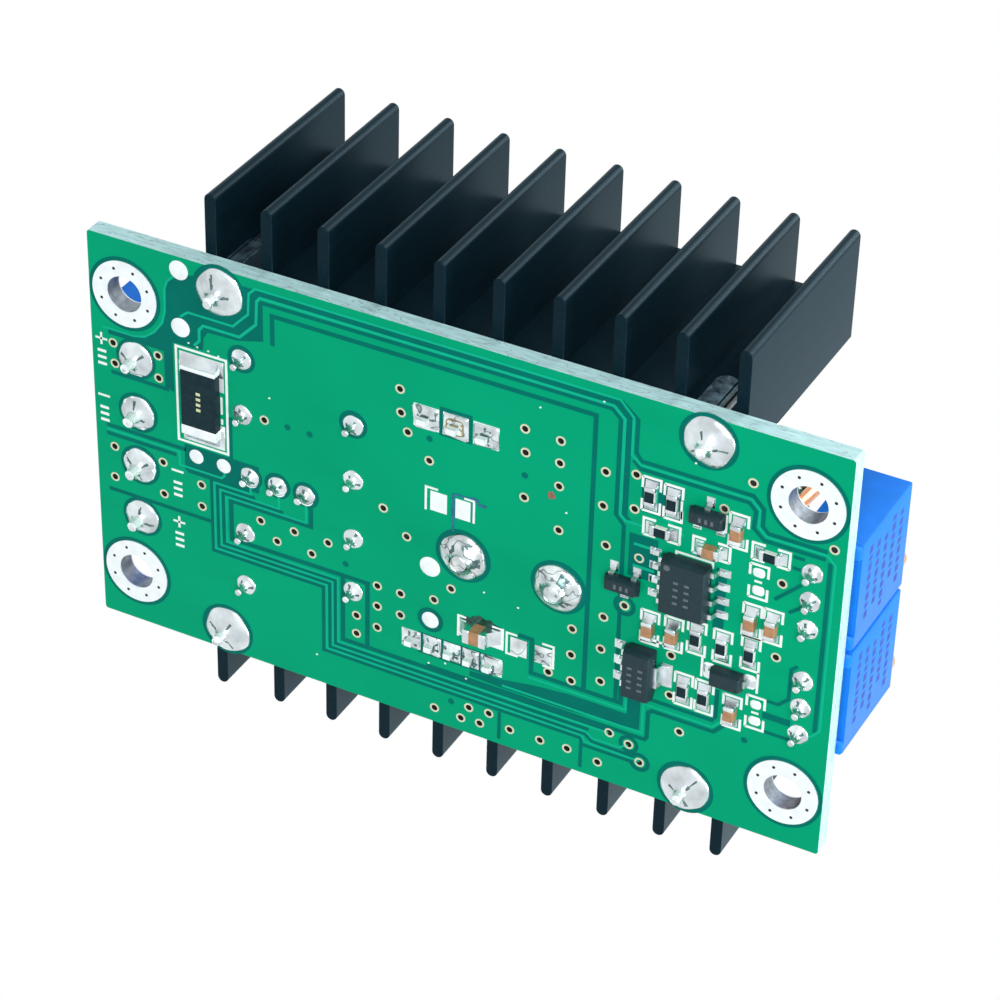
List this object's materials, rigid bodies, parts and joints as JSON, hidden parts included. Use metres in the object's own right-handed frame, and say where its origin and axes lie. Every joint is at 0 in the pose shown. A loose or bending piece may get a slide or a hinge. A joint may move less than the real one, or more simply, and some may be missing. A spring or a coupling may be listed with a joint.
{
  "type": "dc-dc converter module",
  "caption": "Open-board step-down dc-dc converter with two finned heatsinks, toroidal inductor, capacitors, screw terminal block and two many-turn trimmers.",
  "frame": {"origin": "under the middle of the board, on the plane that the tips of the soldered heatsink pins stand on", "axes": "+X from the terminal block to the trimmers, +Y towards the rear heatsink, +Z from the solder side to the component side"},
  "size_m": [0.0658, 0.047, 0.0236],
  "materials": {
    "laminate": "green solder mask, satin",
    "anodised_aluminium": "black anodised, satin",
    "tinned_metal": "tinned, slightly dull",
    "zinc_steel": "zinc plated",
    "brass_screw": "bright turned brass",
    "copper_wire": "enamelled copper, glossy",
    "powder_core": "painted powder core",
    "can_aluminium": "drawn aluminium",
    "capacitor_sleeve": "shrunk sleeve, glossy",
    "moulded_epoxy": "moulded black epoxy",
    "silicone_pad": "grey thermal pad",
    "blue_plastic": "blue moulded plastic, satin",
    "ceramic": "fired tan ceramic",
    "resistor_glaze": "black glaze",
    "lamp_lens": "clear lens"
  },
  "bodies": {
    "module": {"bias_regulator": "moulded_epoxy", "boost_capacitor": "ceramic", "charging_lamp": "lamp_lens", "circuit_board": "laminate", "controller_chip": "moulded_epoxy", "current_trimmer_case": "blue_plastic", "heatsink_front": "anodised_aluminium", "heatsink_pin_front_left": "tinned_metal", "heatsink_pin_front_right": "tinned_metal", "heatsink_pin_rear_left": "tinned_metal", "heatsink_pin_rear_right": "tinned_metal", "heatsink_rear": "anodised_aluminium", "inductor_core": "powder_core", "inductor_winding": "copper_wire", "input_capacitor_a_can": "can_aluminium", "input_capacitor_a_sleeve": "capacitor_sleeve", "input_capacitor_b_can": "can_aluminium", "input_capacitor_b_sleeve": "capacitor_sleeve", "limiting_lamp": "lamp_lens", "lower_transistor": "moulded_epoxy", "output_capacitor_a_can": "can_aluminium", "output_capacitor_a_sleeve": "capacitor_sleeve", "output_capacitor_b_can": "can_aluminium", "output_capacitor_b_sleeve": "capacitor_sleeve", "power_lamp": "lamp_lens", "rectifier_insulator": "silicone_pad", "rectifier_package": "moulded_epoxy", "rectifier_screw": "zinc_steel", "rectifier_tab": "tinned_metal", "rectifier_washer": "zinc_steel", "reference_chip": "moulded_epoxy", "regulator_insulator": "silicone_pad", "regulator_package": "moulded_epoxy", "regulator_screw": "zinc_steel", "regulator_tab": "tinned_metal", "regulator_washer": "zinc_steel", "sense_resistor": "resistor_glaze", "steering_diode": "moulded_epoxy", "terminal_clamp_1": "tinned_metal", "terminal_clamp_2": "tinned_metal", "terminal_clamp_3": "tinned_metal", "terminal_clamp_4": "tinned_metal", "terminal_housing": "blue_plastic", "upper_transistor": "moulded_epoxy", "voltage_trimmer_case": "blue_plastic"},
    "voltage_trimmer": {"voltage_trimmer_screw": "brass_screw"},
    "current_trimmer": {"current_trimmer_screw": "brass_screw"},
    "pole_1_leaf": {"terminal_leaf_1": "tinned_metal"},
    "pole_1_screw": {"terminal_screw_1": "zinc_steel"},
    "pole_2_leaf": {"terminal_leaf_2": "tinned_metal"},
    "pole_2_screw": {"terminal_screw_2": "zinc_steel"},
    "pole_3_leaf": {"terminal_leaf_3": "tinned_metal"},
    "pole_3_screw": {"terminal_screw_3": "zinc_steel"},
    "pole_4_leaf": {"terminal_leaf_4": "tinned_metal"},
    "pole_4_screw": {"terminal_screw_4": "zinc_steel"}
  },
  "joints": [
    {"name": "voltage_trimmer_turn", "type": "hinge", "parent": "module", "child": "voltage_trimmer", "pos_m": [0.03155, -0.00163, 0.0145], "axis": [0, 0, 1], "continuous": true},
    {"name": "current_trimmer_turn", "type": "hinge", "parent": "module", "child": "current_trimmer", "pos_m": [0.03155, 0.00826, 0.0145], "axis": [0, 0, 1], "continuous": true},
    {"name": "pole_1_clamping", "type": "slide", "parent": "module", "child": "pole_1_leaf", "axis": [0, 0, -1], "range_m": [0, 0.0022]},
    {"name": "pole_1_screw_turn", "type": "hinge", "parent": "pole_1_leaf", "child": "pole_1_screw", "pos_m": [-0.0284, -0.00762, 0.0125], "axis": [0, 0, -1], "range_deg": [0, 1585]},
    {"name": "pole_2_clamping", "type": "slide", "parent": "module", "child": "pole_2_leaf", "axis": [0, 0, -1], "range_m": [0, 0.0022]},
    {"name": "pole_2_screw_turn", "type": "hinge", "parent": "pole_2_leaf", "child": "pole_2_screw", "pos_m": [-0.0284, -0.00254, 0.0125], "axis": [0, 0, -1], "range_deg": [0, 1585]},
    {"name": "pole_3_clamping", "type": "slide", "parent": "module", "child": "pole_3_leaf", "axis": [0, 0, -1], "range_m": [0, 0.0022]},
    {"name": "pole_3_screw_turn", "type": "hinge", "parent": "pole_3_leaf", "child": "pole_3_screw", "pos_m": [-0.0284, 0.00254, 0.0125], "axis": [0, 0, -1], "range_deg": [0, 1585]},
    {"name": "pole_4_clamping", "type": "slide", "parent": "module", "child": "pole_4_leaf", "axis": [0, 0, -1], "range_m": [0, 0.0022]},
    {"name": "pole_4_screw_turn", "type": "hinge", "parent": "pole_4_leaf", "child": "pole_4_screw", "pos_m": [-0.0284, 0.00762, 0.0125], "axis": [0, 0, -1], "range_deg": [0, 1585]}
  ],
  "couplings": [
    {"joint": "pole_1_screw_turn", "follows": "pole_1_clamping", "rad_per_m": 12566},
    {"joint": "pole_2_screw_turn", "follows": "pole_2_clamping", "rad_per_m": 12566},
    {"joint": "pole_3_screw_turn", "follows": "pole_3_clamping", "rad_per_m": 12566},
    {"joint": "pole_4_screw_turn", "follows": "pole_4_clamping", "rad_per_m": 12566}
  ]
}
